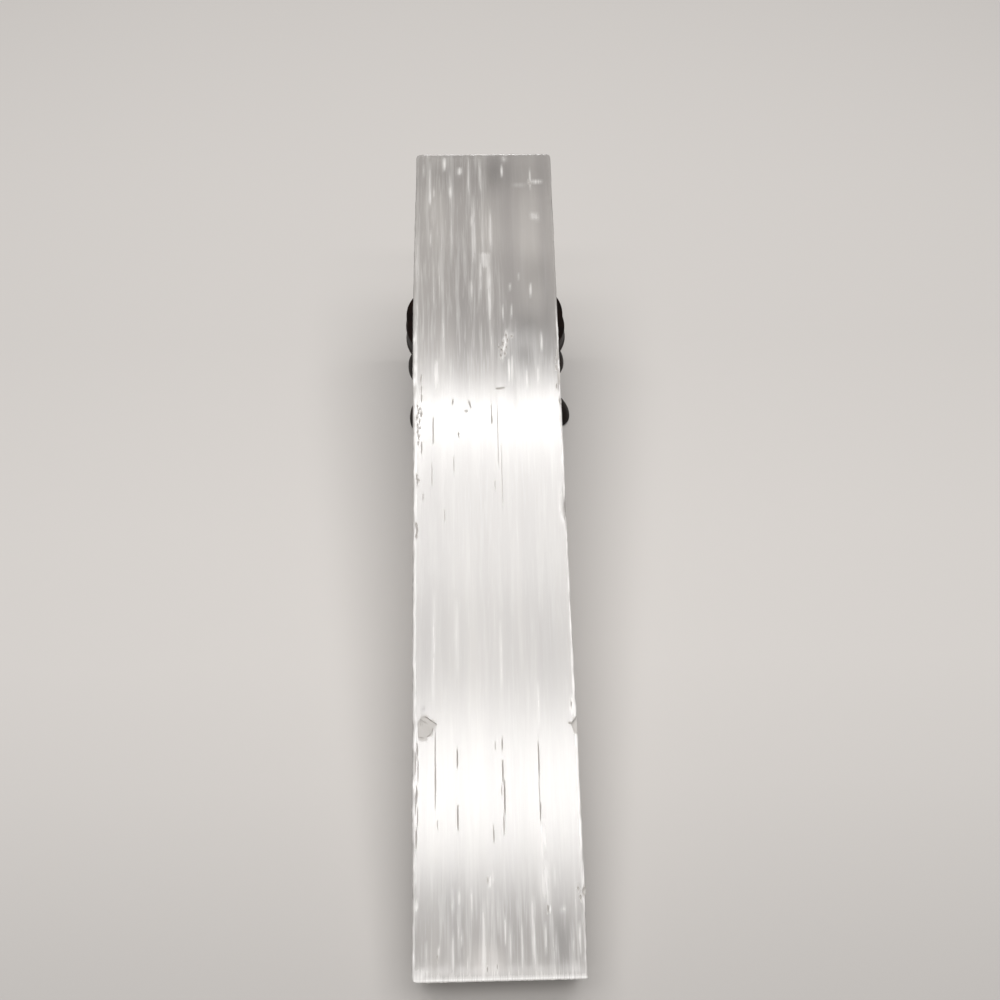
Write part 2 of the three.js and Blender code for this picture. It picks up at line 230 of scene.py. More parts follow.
def node(tree, kind, inputs=None, ramp=None, **settings):
    """Adds a node. Settings are its attributes. An input takes a value, another node's output, or a node
    for its first output. A ramp is a colour ramp's stops, each a place and a colour or a grey."""
    made = tree.nodes.new(kind)
    for name, value in settings.items():
        setattr(made, name, value)
    for key, value in (inputs or {}).items():
        if isinstance(value, bpy.types.Node):
            value = value.outputs[0]
        if isinstance(value, bpy.types.NodeSocket):
            tree.links.new(value, made.inputs[key])
        else:
            made.inputs[key].default_value = value
    for i, (position, colour) in enumerate(ramp or ()):
        stops = made.color_ramp.elements
        stop = stops[i] if i < 2 else stops.new(position)
        stop.position = position
        stop.color = (colour, colour, colour, 1) if isinstance(colour, (int, float)) else colour
    return made


def blank_material(name):
    material = bpy.data.materials.new(name)
    material.use_nodes = True
    material.node_tree.nodes.clear()
    return material


def patterns(tree, place, grains):
    """Noises over a place in millimetres. Each grain is its size along x, y and z, and its detail."""
    made = []
    for *size, detail in grains:
        finer = [1 / side for side in size]
        scaled = node(tree, "ShaderNodeVectorMath", {0: place, 1: finer}, operation="MULTIPLY")
        made.append(node(tree, "ShaderNodeTexNoise", {"Vector": scaled, "Scale": 1.0, "Detail": detail}))
    return made


# ---- modelling helpers

def choose(piece):
    """Leaves this piece alone selected and active, in object mode."""
    if bpy.context.object and bpy.context.object.mode != "OBJECT":
        bpy.ops.object.mode_set(mode="OBJECT")
    bpy.ops.object.select_all(action="DESELECT")
    if piece:
        bpy.context.view_layer.objects.active = piece
        piece.select_set(True)


def added():
    """The primitive just added, with its place put into its mesh."""
    piece = bpy.context.object
    bpy.ops.object.transform_apply(location=True, rotation=True, scale=True)
    return piece


def edit(piece):
    choose(piece)
    bpy.ops.object.mode_set(mode="EDIT")
    bpy.ops.mesh.select_all(action="DESELECT")


def pick(piece, test, kind="EDGE"):
    """Selects the vertices, edges or faces that pass a test, in edit mode."""
    bpy.ops.mesh.select_mode(type=kind)
    bpy.ops.mesh.select_all(action="DESELECT")
    mesh = bmesh.from_edit_mesh(piece.data)
    parts = {"VERT": mesh.verts, "EDGE": mesh.edges, "FACE": mesh.faces}[kind]
    found = [part for part in parts if test(part)]
    if not found:
        raise RuntimeError(f"nothing to pick on {piece.name}")
    for part in found:
        part.select_set(True)
    bmesh.update_edit_mesh(piece.data)


def pick_all():
    bpy.ops.mesh.select_all(action="SELECT")


def face_outwards():
    pick_all()
    bpy.ops.mesh.normals_make_consistent(inside=False)


def use(piece, kind, **settings):
    """Adds a modifier and applies it."""
    choose(piece)
    modifier = piece.modifiers.new(kind.title(), kind)
    for name, value in settings.items():
        setattr(modifier, name, value)
    bpy.ops.object.modifier_apply(modifier=modifier.name)


def places(piece):
    """The vertices' places in millimetres."""
    co = np.empty(len(piece.data.vertices) * 3)
    piece.data.vertices.foreach_get("co", co)
    return co.reshape(-1, 3) / MM


def corner_of(piece, index):
    """Where a vertex is, in edit mode."""
    mesh = bmesh.from_edit_mesh(piece.data)
    mesh.verts.ensure_lookup_table()
    return mesh.verts[index].co.copy()


def near(value, middle, half):
    """1 at the middle, falling smoothly to 0 at half away."""
    return np.cos(np.clip(np.abs(value - middle) / half, 0, 1) * np.pi / 2) ** 2


def ramp_up(value, start, end):
    """0 before the start and 1 after the end, rising smoothly between."""
    t = np.clip((value - start) / (end - start), 0, 1)
    return t * t * (3 - 2 * t)


def push(piece, weights, strength, direction, texture=None, grain=(1, 1, 1), level=0.0):
    """Displaces the vertices by their weights, in millimetres. The texture's grain is in millimetres, and
    at its level nothing moves."""
    group = piece.vertex_groups.new(name="push")
    for i in np.nonzero(weights > 0.001)[0]:
        group.add([int(i)], float(weights[i]), "REPLACE")
    settings = {"strength": strength * MM, "direction": direction, "vertex_group": "push", "mid_level": level}
    guide = None
    if texture:
        guide = bpy.data.objects.new("guide", None)
        bpy.context.scene.collection.objects.link(guide)
        guide.scale = Vector(grain) * MM
        bpy.context.view_layer.update()
        settings.update(texture=texture, texture_coords="OBJECT", texture_coords_object=guide)
    use(piece, "DISPLACE", **settings)
    piece.vertex_groups.remove(piece.vertex_groups["push"])
    if guide:
        bpy.data.objects.remove(guide)


def clouds(name, depth=2, contrast=1.0, brightness=1.0):
    texture = bpy.data.textures.new(name, "CLOUDS")
    texture.noise_scale = 1.0
    texture.noise_depth = depth
    texture.contrast = contrast
    texture.intensity = brightness
    return texture


def attach(piece, name, values):
    """Keeps a number for each vertex, for the material to read."""
    attribute = piece.data.attributes.new(name, "FLOAT", "POINT")
    attribute.data.foreach_set("value", values.astype(np.float32))


def settle(piece, matrix):
    """Turns and moves a piece to its place, with the place in its mesh."""
    choose(piece)
    piece.matrix_world = matrix
    bpy.ops.object.transform_apply(location=True, rotation=True, scale=True)


def smooth(piece, degrees):
    """Shades smooth, apart from edges sharper than this."""
    choose(piece)
    bpy.ops.object.shade_smooth_by_angle(angle=math.radians(degrees))


def copy_of(piece):
    twin = piece.copy()
    twin.data = piece.data.copy()
    bpy.context.scene.collection.objects.link(twin)
    return twin


def cut(piece, cutter, operation="DIFFERENCE"):
    use(piece, "BOOLEAN", object=cutter, operation=operation, solver="MANIFOLD")
    bpy.data.objects.remove(cutter)


def hand_over(piece, name, replaced, material):
    """Names a finished piece, gives it its material, and ties it to the frame."""
    piece.name = name
    piece.data.name = name
    piece.data.materials.clear()
    piece.data.materials.append(material)
    piece.data.polygons.foreach_set("material_index", np.zeros(len(piece.data.polygons), int))
    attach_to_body(piece, "root")
    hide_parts(replaced)


# ---- settings

class BlockSettings(bpy.types.PropertyGroup):
    width: FloatProperty(name="Width", description="Across the front face", default=35.6 * MM, unit="LENGTH")
    length: FloatProperty(name="Length", description="Along the fibres", default=202.65 * MM, unit="LENGTH")
    thickness: FloatProperty(name="Thickness", description="Front to back", default=THICKNESS, unit="LENGTH")
    clear: StringProperty(name="Clear", description="Colour of the clearest fibres", default="#9A9693")
    cloudy: StringProperty(name="Cloudy", description="Colour of the cloudier fibres", default="#A8A4A0")
    # This white also paints the highlights along the arrises.
    veil_and_painted_highlight: StringProperty(name="Veil", description="Colour where fibres have parted", default="#EFEDEA")
    broken: StringProperty(name="Broken", description="Colour of a broken face", default="#B6B2AD")


class StandSettings(bpy.types.PropertyGroup):
    plate_radius: FloatProperty(
        name="Plate radius", description="Halfway out on the petals", default=21.95 * MM, unit="LENGTH")
    petals: IntProperty(name="Petals", description="Petals round the plate", default=10)
    petal_depth: FloatProperty(
        name="Petal depth", description="From a petal's tip to its valley", default=0.6 * MM, unit="LENGTH")
    drum_radius: FloatProperty(
        name="Drum radius", description="At its widest", default=18.2 * MM, unit="LENGTH")
    beads: IntProperty(name="Beads", description="Beads round the drum", default=72)
    dark: StringProperty(name="Dark", description="Colour of the dark wood", default="#120A08")
    light: StringProperty(name="Light", description="Colour of the lighter wood", default="#26160F")
    grain: StringProperty(name="Grain", description="Colour of the grain's lines", default="#0A0605")
    worn: StringProperty(name="Worn", description="Colour where the stain is rubbed", default="#3A241B")


class StageSettings(bpy.types.PropertyGroup):
    floor: StringProperty(name="Floor", description="Colour of the floor", default="#E0DCD8")
    fill: FloatProperty(name="Fill", description="Strength of the even light", default=0.08)


# ---- materials

def satin_spar(sizes):
    """Satin spar selenite, split and hand rubbed: close parallel fibres, so that it is clear grey along
    one way of looking and lights up in bands across the fibres, with white veils where they part."""
    material = blank_material("satin_spar_selenite")
    tree = material.node_tree
    place = node(tree, "ShaderNodeTexCoord").outputs["Object"]
    own = node(tree, "ShaderNodeMapping", {
        "Vector": place, "Location": BLOCK_FOOT, "Rotation": (LEAN, 0, 0), "Scale": (MM, MM, MM)},
        vector_type="TEXTURE")
    # Fibres lie in panels, bundles and hairs, each about twenty times as long as it is wide.
    panel, bundle, fibre, hair = patterns(tree, own, (
        (5.5, 110, 5.5, 2.0), (1.3, 26, 1.3, 3.0), (0.45, 9, 0.45, 3.0), (0.24, 5, 0.24, 2.0)))
    veil_and_painted_highlight, tone_and_painted_shade, crowded, rubbed = (
        node(tree, "ShaderNodeAttribute", attribute_name=name).outputs["Fac"]
        for name in ("veil_and_painted_highlight", "tone_and_painted_shade", "crowded", "rubbed"))

    # The named veils are made of finer threads, and thin random streaks lie beside them.
    threads = node(tree, "ShaderNodeMapRange", {
        "Value": hair, "From Min": 0.3, "From Max": 0.7, "To Min": 0.45, "To Max": 1.15})
    streak = node(tree, "ShaderNodeMapRange", {
        "Value": bundle, "From Min": 0.50, "From Max": 0.78, "To Max": 0.30})
    fine = node(tree, "ShaderNodeMapRange", {
        "Value": fibre, "From Min": 0.52, "From Max": 0.80, "To Max": 0.22})
    streaks = node(tree, "ShaderNodeMath", {0: streak, 1: fine}, operation="ADD")
    soft = node(tree, "ShaderNodeMath", {0: streaks, 1: crowded}, operation="MULTIPLY")
    threaded = node(tree, "ShaderNodeMath", {0: veil_and_painted_highlight, 1: threads}, operation="MULTIPLY")
    white = node(tree, "ShaderNodeMath", {0: soft, 1: threaded}, operation="ADD", use_clamp=True)

    body = node(tree, "ShaderNodeValToRGB", {"Fac": panel}, ramp=(
        (0.3, linear(sizes.clear)), (0.7, linear(sizes.cloudy))))
    # The tone lifts or lowers the body colour: clearer and cloudier stretches, and painted shade and light
    # along the lamp bands.
    lift = node(tree, "ShaderNodeMapRange", {
        "Value": tone_and_painted_shade, "From Min": -1.0, "From Max": 1.0, "To Min": 0.65, "To Max": 1.35})
    toned = node(tree, "ShaderNodeVectorMath", {0: body, 3: lift}, operation="SCALE")
    # The veil white also lays the painted highlights along the arrises.
    shaded = node(tree, "ShaderNodeMix", {
        "Factor": white, 6: toned, 7: linear(sizes.veil_and_painted_highlight)}, data_type="RGBA")

    # A broken face is duller and paler than a rubbed one, and veils are duller than clear fibres.
    faced = node(tree, "ShaderNodeMix", {
        "Factor": rubbed, 6: linear(sizes.broken), 7: shaded.outputs[2]}, data_type="RGBA")
    rough = node(tree, "ShaderNodeMath", {0: white, 1: 0.20, 2: 0.225}, operation="MULTIPLY_ADD")
    dulled = node(tree, "ShaderNodeMix", {"Factor": rubbed, 2: 0.6, 3: rough})

    coarse = node(tree, "ShaderNodeMath", {0: fibre, 1: 0.6}, operation="MULTIPLY")
    height = node(tree, "ShaderNodeMath", {0: hair, 1: 0.4, 2: coarse}, operation="MULTIPLY_ADD")
    relief = node(tree, "ShaderNodeBump", {"Height": height, "Strength": 1.0, "Distance": 0.006 * MM})
    across = node(tree, "ShaderNodeTangent", direction_type="UV_MAP", uv_map="fibres")
    shader = node(tree, "ShaderNodeBsdfPrincipled", {
        "Base Color": faced.outputs[2], "Roughness": dulled, "IOR": 1.57, "Specular IOR Level": 1.0,
        "Anisotropic": 0.8, "Tangent": across, "Normal": relief, "Subsurface Weight": 0.25,
        "Subsurface Radius": (1.0, 0.97, 0.93), "Subsurface Scale": 1.6 * MM})
    node(tree, "ShaderNodeOutputMaterial", {"Surface": shader})
    return material


def stained_wood(sizes):
    """Rosewood, turned and carved, stained nearly black under a thin lacquer: long dark grain, a gloss gone
    soft with handling, and a little browner where hands have rubbed it."""
    material = bpy.data.materials.get("stained_rosewood")
    if material:
        return material
    material = blank_material("stained_rosewood")
    tree = material.node_tree
    place = node(tree, "ShaderNodeTexCoord").outputs["Object"]
    mm = node(tree, "ShaderNodeVectorMath", {0: place, 1: [1 / MM] * 3}, operation="MULTIPLY")
    figure, grain, pores, wear = patterns(tree, mm, (
        (26, 4.5, 3.2, 3.0), (7, 0.55, 0.5, 3.0), (3.0, 0.3, 0.3, 1.0), (7, 7, 7, 4.0)))
    figure.inputs["Distortion"].default_value = 0.6

    base = node(tree, "ShaderNodeValToRGB", {"Fac": figure}, ramp=(
        (0.35, linear(sizes.dark)), (0.7, linear(sizes.light))))
    lined = node(tree, "ShaderNodeMath", {0: grain, 1: 0.55}, operation="MULTIPLY")
    streaked = node(tree, "ShaderNodeMix", {
        "Factor": lined, 6: base, 7: linear(sizes.grain)}, data_type="RGBA")
    rubbed = node(tree, "ShaderNodeValToRGB", {"Fac": wear}, ramp=((0.56, 0.0), (0.75, 0.45)))
    worn = node(tree, "ShaderNodeMix", {
        "Factor": rubbed, 6: streaked.outputs[2], 7: linear(sizes.worn)}, data_type="RGBA")

    rough = node(tree, "ShaderNodeMath", {0: grain, 1: 0.2, 2: 0.44}, operation="MULTIPLY_ADD")
    both = node(tree, "ShaderNodeMath", {0: pores, 1: grain}, operation="ADD")
    height = node(tree, "ShaderNodeMath", {0: both, 1: 0.5}, operation="MULTIPLY")
    relief = node(tree, "ShaderNodeBump", {"Height": height, "Strength": 1.0, "Distance": 0.05 * MM})
    shader = node(tree, "ShaderNodeBsdfPrincipled", {
        "Base Color": worn.outputs[2], "Roughness": rough, "Specular IOR Level": 0.14,
        "Coat Weight": 0.04, "Coat Roughness": 0.3, "Normal": relief})
    node(tree, "ShaderNodeOutputMaterial", {"Surface": shader})
    return material


def matte_paper(sizes):
    """Seamless background paper, matte, with painted shade in its colour: darker towards the front, standing
    in for light that falls away there.
    """
    material = blank_material("matte_paper")
    tree = material.node_tree
    place = node(tree, "ShaderNodeTexCoord").outputs["Object"]
    back = node(tree, "ShaderNodeSeparateXYZ", {0: place}).outputs["Y"]
    reach = node(tree, "ShaderNodeMapRange", {"Value": back, "From Min": -0.11, "From Max": 0.32})
    # Painted shade: this ramp darkens the paper's colour towards the front.
    light = node(tree, "ShaderNodeValToRGB", {"Fac": reach}, ramp=(
        (0.0, 0.64), (1.0, 1.0), (0.05, 0.69), (0.14, 0.79), (0.22, 0.845), (0.32, 0.865), (0.5, 0.87),
        (0.7, 0.93)))
    shaded = node(tree, "ShaderNodeMix", {
        "Factor": 1.0, 6: linear(sizes.floor), 7: light}, data_type="RGBA", blend_type="MULTIPLY")
    shader = node(tree, "ShaderNodeBsdfPrincipled", {"Base Color": shaded.outputs[2], "Roughness": 0.9})
    node(tree, "ShaderNodeOutputMaterial", {"Surface": shader})
    return material


# ---- the block

def white_lines(x, y):
    """How strongly the veils show at each vertex, each leaning a little off the fibres."""
    total = np.zeros(len(x))
    for across, start, end, half, strength in VEILS:
        along = np.clip((y - start) / (end - start), 0, 1)
        lean = 0.012 * np.sin(across * 7.3) * (y - start)
        line = np.sin(along * np.pi) ** 0.8 * np.exp(-((x - across - lean) / half) ** 2)
        total = np.maximum(total, strength * line)
    return total


def white_patches(x, y):
    """A blotch and a cross near the raised end, a torn patch below them, and a jagged bruise."""
    blotch = 0.55 * near(x, 12.9, 1.6) ** 0.7 * near(y + 0.3 * x, 186.6, 1.5) ** 0.7
    cross = 0.8 * near(y, 193.3 + 0.03 * (x - 12), 0.6) * near(x, 13.4, 2.4) ** 0.6
    arm = 0.5 * near(y, 192.8, 0.5) * near(x, 9.2, 2.4) ** 0.6
    torn = 0.42 * ramp_up(y, 166.6, 168.4) * ramp_up(-y, -172.1, -171.5) * near(x, -0.2, 2.1) ** 0.5
    tails = 0.30 * near(x, -1.6, 0.8) * near(y, 165, 9) + 0.30 * near(x, 1.2, 0.9) * near(y, 163, 10)
    jag_x = 4.3 + 0.25 * np.sin(y * 2.3) - 0.12 * (145 - y)
    jag = near(y, 144.9, 4.8) ** 0.5 * np.exp(-((x - jag_x) / 0.36) ** 2)
    branch = 0.6 * np.exp(-((y - 147.4 - 0.1 * (x - 5.5)) / 0.35) ** 2) * near(x, 5.9, 1.3)
    return np.maximum.reduce([blotch, cross, arm, torn, tails, jag, branch])


def edge_bruises_and_painted_highlights(x, y, side):
    """The arrises are painted white: partly the crushed white of knocked edges, mostly a painted highlight
    where the worn edges catch the light and glow through. Most along the right one and by the foot.
    """
    right = ramp_up(x, side - 0.6, side - 0.3) * (0.08 + 0.9 * ramp_up(-y, -160, -150))
    right = right * (0.4 + 0.6 * ramp_up(y, 18, 30))
    planed = 0.55 * near(x, side - 0.3, 1.9) ** 0.5 * near(y, 103, 7)
    wedge = 0.9 * near(x, 17.1, 0.75) ** 0.5 * near(y, 55.2, 3.2)
    left = ramp_up(-x, side - 0.65, side - 0.4) * (0.12 + 0.43 * ramp_up(-y, -160, -140))
    lip = 0.95 * ramp_up(-y, -1.1, -0.8)
    corner = 0.6 * ramp_up(-x, 14.4, 15.8) * ramp_up(-y, -3.8, -1.4)
    foot = 0.22 * ramp_up(-y, -3.4, -1.2)
    return np.maximum.reduce([right, planed, wedge, left, lip, corner, foot])


def clearness_and_painted_shade(x, y):
    """How light or dark the face is from place to place: partly clearer and cloudier fibres, partly painted
    shade and light along the lamp bands.
    """
    # Painted shade: darker over the foot, at the raised end, and across the top of the upper bright band
    # (less on the left), where the bands of light fall off.
    tone_and_painted_shade = -0.2 * near(y, 17, 11) - 0.25 * near(y, 196, 9)
    tone_and_painted_shade = tone_and_painted_shade - 0.5 * near(y, 147, 18) * (0.1 + 0.65 * ramp_up(x, -13, 0))
    for across, reach_across, along, reach_along, lighter in STRETCHES:
        tone_and_painted_shade = tone_and_painted_shade + lighter * near(x, across, reach_across) * near(y, along, reach_along)
    return tone_and_painted_shade


class SELENITE_OT_block(bpy.types.Operator):
    """Model the selenite block"""
    bl_idname = "selenite.block"
    bl_label = "Selenite block"

    # The foot's edge stands this far in from the frame's start.
    FOOT = 0.2 * MM

    # Every arris has its own wear, in millimetres.
    WEAR = {
        ("x-", "z+"): 0.45, ("x+", "z+"): 0.3, ("x-", "z-"): 0.8, ("x+", "z-"): 0.8,
        ("x-", "y+"): 1.5, ("x+", "y+"): 1.9, ("x-", "y-"): 1.6, ("x+", "y-"): 0.3,
        ("y+", "z+"): 0.45, ("y-", "z+"): 0.3, ("y+", "z-"): 1.3, ("y-", "z-"): 0.6,
    }

    def execute(self, context):
        sizes = context.scene.selenite_block
        width, length, thick = sizes.width, sizes.length, sizes.thickness
        choose(None)
        bpy.ops.mesh.primitive_cube_add(
            size=1, location=(0, length / 2 + self.FOOT, -thick / 2), scale=(width, length, thick))
        block = added()
        self.bevel(block)
        self.divide(block)
        self.shape(block, width / 2 / MM, thick / MM)
        self.mark(block, width / 2 / MM, length / MM)
        self.flake(block)
        self.unwrap(block)
        settle(block, Matrix.Translation(BLOCK_FOOT) @ Matrix.Rotation(LEAN, 4, "X"))
        self.stand_flat(block)
        smooth(block, 38)
        hand_over(block, "selenite_slab", "selenite_block", satin_spar(sizes))
        return {"FINISHED"}

    def bevel(self, block):
        widest = max(self.WEAR.values())
        low, high = np.min(places(block), 0) * MM, np.max(places(block), 0) * MM
        edit(block)
        for sides, width in self.WEAR.items():
            def on_arris(edge, sides=sides):
                middle = (edge.verts[0].co + edge.verts[1].co) / 2
                for axis, end in sides:
                    i = "xyz".index(axis)
                    if abs(middle[i] - (high if end == "+" else low)[i]) > 1e-6:
                        return False
                return True
            pick(block, on_arris)
            bpy.ops.transform.edge_bevelweight(value=width / widest)
        use(block, "BEVEL", width=widest * MM, segments=3, limit_method="WEIGHT", use_clamp_overlap=False)

    def divide(self, block):
        """Close cuts keep the flats at the ends flat, then each way is cut evenly, finest across."""
        low, high = np.min(places(block), 0)[1], np.max(places(block), 0)[1]
        edit(block)
        for at in (low + 0.45, low + 0.75, low + 1.2, high - 0.5, high - 0.8, high - 1.3, high - 2.2):
            pick_all()
            bpy.ops.mesh.bisect(plane_co=(0, at * MM, 0), plane_no=(0, 1, 0), threshold=1e-7)
        # For each axis: the edges longer than this, in millimetres, get this many cuts, twice over.
        for axis, stages in ((0, ((5, 11), (1.5, 11))), (1, ((5, 13), (5, 13))), (2, ((3, 4), (1.5, 5)))):
            for longer, number in stages:
                def runs_along(edge, axis=axis, longer=longer):
                    run = edge.verts[0].co - edge.verts[1].co
                    return abs(run[axis]) > 0.999 * run.length and run.length > longer * MM
                pick(block, runs_along)
                bpy.ops.mesh.subdivide(number_cuts=number)
        choose(block)

    def shape(self, block, side, thick):
        x, y, z = places(block).T
        foot, head = y.min(), y.max()
        from_side = side - np.abs(x)
        from_end = np.minimum(y - foot, head - y)
        on_front = ramp_up(z, -0.4, -0.05)
        on_back = ramp_up(-z, thick - 0.4, thick - 0.05)
        on_side = ramp_up(np.abs(x), side - 0.4, side - 0.05)
        inside = ramp_up(from_side, 0.6, 2.2) * ramp_up(from_end, 0.6, 4)
        depth = ramp_up(np.minimum(-z, thick + z), 0.9, 3)
        # The left side bows out over its upper half, the right side a little near the foot.
        to_left, to_right = np.clip(-x / side, 0, 1), np.clip(x / side, 0, 1)
        for toward, along, reach, out in (
                (to_left, 148, 66, -0.72), (to_left, 80, 62, -0.38), (to_right, 42, 40, 0.22),
                (to_right, 17, 17, 0.25), (to_left, 33, 17, -0.18)):
            push(block, near(y, along, reach) * toward, out, "X")
        # Bundles of fibres stand a little higher or lower, so the light ends unevenly on them.
        broad, close, ridged = clouds("bundles"), clouds("fibres", 3), clouds("ledges", 1, 2.2)
        calm = 1 - 0.75 * ramp_up(x, 1, 6) * ramp_up(y, 143, 152)
        push(block, on_front * inside * calm, 0.16, "Z", broad, (3.4, 90, 3.4), 0.85)
        push(block, on_front * inside * calm, 0.05, "Z", close, (1.1, 34, 1.1), 0.8)
        # The sides and the back are split, not rubbed: long shallow ledges.
        rough_sides = on_side * depth * ramp_up(from_end, 0, 4)
        push(block, rough_sides, 0.5, "NORMAL", ridged, (1.7, 120, 1.7), 1.0)
        push(block, rough_sides, 0.16, "NORMAL", close, (0.6, 22, 0.6), 0.9)
        # The back is smooth where it bears on the plate.
        rough_back = on_back * inside * ramp_up(y, 5, 10) * (1 - near(y, 147.3, 9) ** 0.5)
        push(block, rough_back, 0.5, "NORMAL", ridged, (3.1, 150, 3.1), 1.0)
        push(block, rough_back, 0.14, "NORMAL", close, (0.7, 30, 0.7), 0.9)
        # The ends are sawn across, and bundles stop at slightly different lengths.
        ends = clouds("fibre_ends", 2, 1.6)
        push(block, ramp_up(y, head - 0.7, head - 0.1), 0.30, "Y", ends, (0.5, 8, 0.8), 1.0)
        push(block, ramp_up(-y, -foot - 0.7, -foot - 0.1), -0.14, "Y", ends, (0.45, 8, 0.7), 1.1)
        # The raised lip is worn down towards its edge.
        push(block, on_front * np.clip((y - head + 2.2) / 1.8, 0, 1), -0.45, "Z")
        # Small knocks along the front arrises.
        knocks = clouds("knocks", 3, 3.0, 0.9)
        left = near(x, -side, 1.3) * near(z, 0, 1.3)
        right = near(x, side, 1.0) * near(z, 0, 1.0)
        push(block, left * ramp_up(from_end, 1, 6), -0.16, "NORMAL", knocks, (0.7, 1.9, 0.7))
        push(block, right * ramp_up(from_end, 1, 6), -0.16, "NORMAL", knocks, (0.7, 2.3, 0.7))
        # The right arris is planed off a little further where a long splinter has gone.
        splinter = ramp_up(y, 98.5, 100.5) * ramp_up(-y, -107.5, -103.5)
        push(block, splinter * near(x, side, 1.7) * near(z, 0, 1.5), -0.35, "NORMAL")

    def mark(self, block, side, length):
        """How milky, and how light or dark, the selenite is from place to place, with painted highlights
        along the arrises and painted shade and light along the bands.
        """
        x, y, z = places(block).T
        front = ramp_up(z, -0.6, -0.1)
        # The veils and white marks, with the painted highlights along the arrises.
        veil_and_painted_highlight = np.maximum.reduce([white_lines(x, y), white_patches(x, y), edge_bruises_and_painted_highlights(x, y, side)])
        # Split sides are paler than the rubbed front, and sawn ends paler still.
        up = y - self.FOOT / MM
        sawn = ramp_up(-np.minimum(up, length - up), -0.5, -0.2)
        pale = ramp_up(-z, 0.5, 1.6) * (0.62 + 0.2 * sawn)
        attach(block, "veil_and_painted_highlight", np.maximum(veil_and_painted_highlight * front, pale))
        # The tone also carries the painted shade and light along the bands.
        attach(block, "tone_and_painted_shade", clearness_and_painted_shade(x, y) * front)
        # Streaks crowd towards both ends and the left, and thin out in between.
        right_head = ramp_up(x + 0.12 * (y - 160), 2, 7) * ramp_up(y, 140, 150)
        crowded = 0.25 + 0.75 * np.maximum(ramp_up(-y, -26, -10), ramp_up(y, 124, 146))
        attach(block, "crowded", crowded * (1 - 0.85 * right_head))
        # Whatever is cut away after this is broken, not rubbed.
        attach(block, "rubbed", np.ones(len(x)))

    def flake(self, block):
        """Flakes, cracks and splits are cut with lens-shaped lumps, chips with flat-footed ones."""
        large, small = self.lump(3), self.lump(2)
        cutters = [(large, middle, half, 0) for middle, half in FLAKES]
        cutters += [(small, (*middle, 0), half, 0) for middle, half in SPECKS]
        for x, start, end, strength in SPLITS:
            half = (0.03 + 0.11 * strength, (end - start) / 2, 0.1 + 0.35 * strength)
            cutters.append((small, (x, (start + end) / 2, 0), half, 0))
        for start, end, half, deep in CRACKS:
            run, middle = Vector(end) - Vector(start), (Vector(start) + Vector(end)) / 2
            cutters.append((small, (*middle, 0), (half, run.length / 2, deep), -math.atan2(run.x, run.y)))
        feet = [self.flat_foot(*chip) for chip in CHIPS]
        whole = feet[0]
        for one in feet[1:]:
            cut(whole, one, "UNION")
        for shape, middle, half, turn in cutters:
            one = copy_of(shape)
            settle(one, Matrix.Translation(Vector(middle) * MM) @ Matrix.Rotation(turn, 4, "Z")
                   @ Matrix.Diagonal(Vector(half) * MM).to_4x4())
            cut(whole, one, "UNION")
        bpy.data.objects.remove(large)
        bpy.data.objects.remove(small)
        cut(block, whole)

    def lump(self, finer):
        """A round lump with an uneven face, 1 m in radius, to be scaled down where it cuts."""
        choose(None)
        bpy.ops.mesh.primitive_ico_sphere_add(subdivisions=finer, radius=1)
        lump = added()
        everywhere = np.ones(len(lump.data.vertices))
        push(lump, everywhere, 160, "NORMAL", clouds("flake_face", 3), (350, 900, 350), 0.5)
        return lump

    def flat_foot(self, outline, deep, tip):
        """A straight-sided lump over an outline, its foot below the face and tipped to the right."""
        choose(None)
        bpy.ops.mesh.primitive_circle_add(vertices=len(outline), radius=1 * MM, fill_type="NGON")
        lump = added()
        edit(lump)
        middle = sum((Vector(point) for point in outline), Vector((0, 0))) / len(outline)
        for i, point in enumerate(outline):
            pick(lump, lambda corner, i=i: corner.index == i, "VERT")
            bpy.ops.transform.translate(value=(Vector(point) - middle).to_3d() * MM - corner_of(lump, i))
        bpy.ops.mesh.select_mode(type="FACE")
        pick_all()
        bpy.ops.mesh.extrude_region_move(TRANSFORM_OT_translate={"value": (0, 0, 2 * MM)})
        face_outwards()
        floor = Matrix.Translation(Vector((*middle, -deep)) * MM)
        settle(lump, floor @ Matrix.Rotation(math.radians(tip), 4, "Y"))
        return lump

    def unwrap(self, block):
        """U runs across the fibres and V along them, on every face."""
        mesh = block.data
        while mesh.uv_layers:
            mesh.uv_layers.remove(mesh.uv_layers[0])
        layer = mesh.uv_layers.new(name="fibres")
        corner = np.empty(len(mesh.loops), int)
        mesh.loops.foreach_get("vertex_index", corner)
        normals = np.empty(len(mesh.polygons) * 3)
        mesh.polygons.foreach_get("normal", normals)
        corners = np.empty(len(mesh.polygons), int)
        mesh.polygons.foreach_get("loop_total", corners)
        of_face = np.repeat(np.abs(normals.reshape(-1, 3)), corners, axis=0)
        x, y, z = places(block)[corner].T
        across = np.where(of_face[:, 0] > 0.8, z, x)
        along = np.where(of_face[:, 1] > 0.8, z, y)
        layer.data.foreach_set("uv", np.stack([across, along], 1).ravel() / 210)

    def stand_flat(self, block):
        """Cuts the lower back arris off along the ground."""
        edit(block)
        pick_all()
        bpy.ops.mesh.bisect(
            plane_co=(0, 0, 0), plane_no=(0, 0, 1), use_fill=True, clear_inner=True, threshold=1e-7)
        choose(block)


# ---- the stand

def stand_place():
    return Matrix.Translation(STAND_CENTRE) @ Matrix.Rotation(STAND_TURN, 4, "Z")


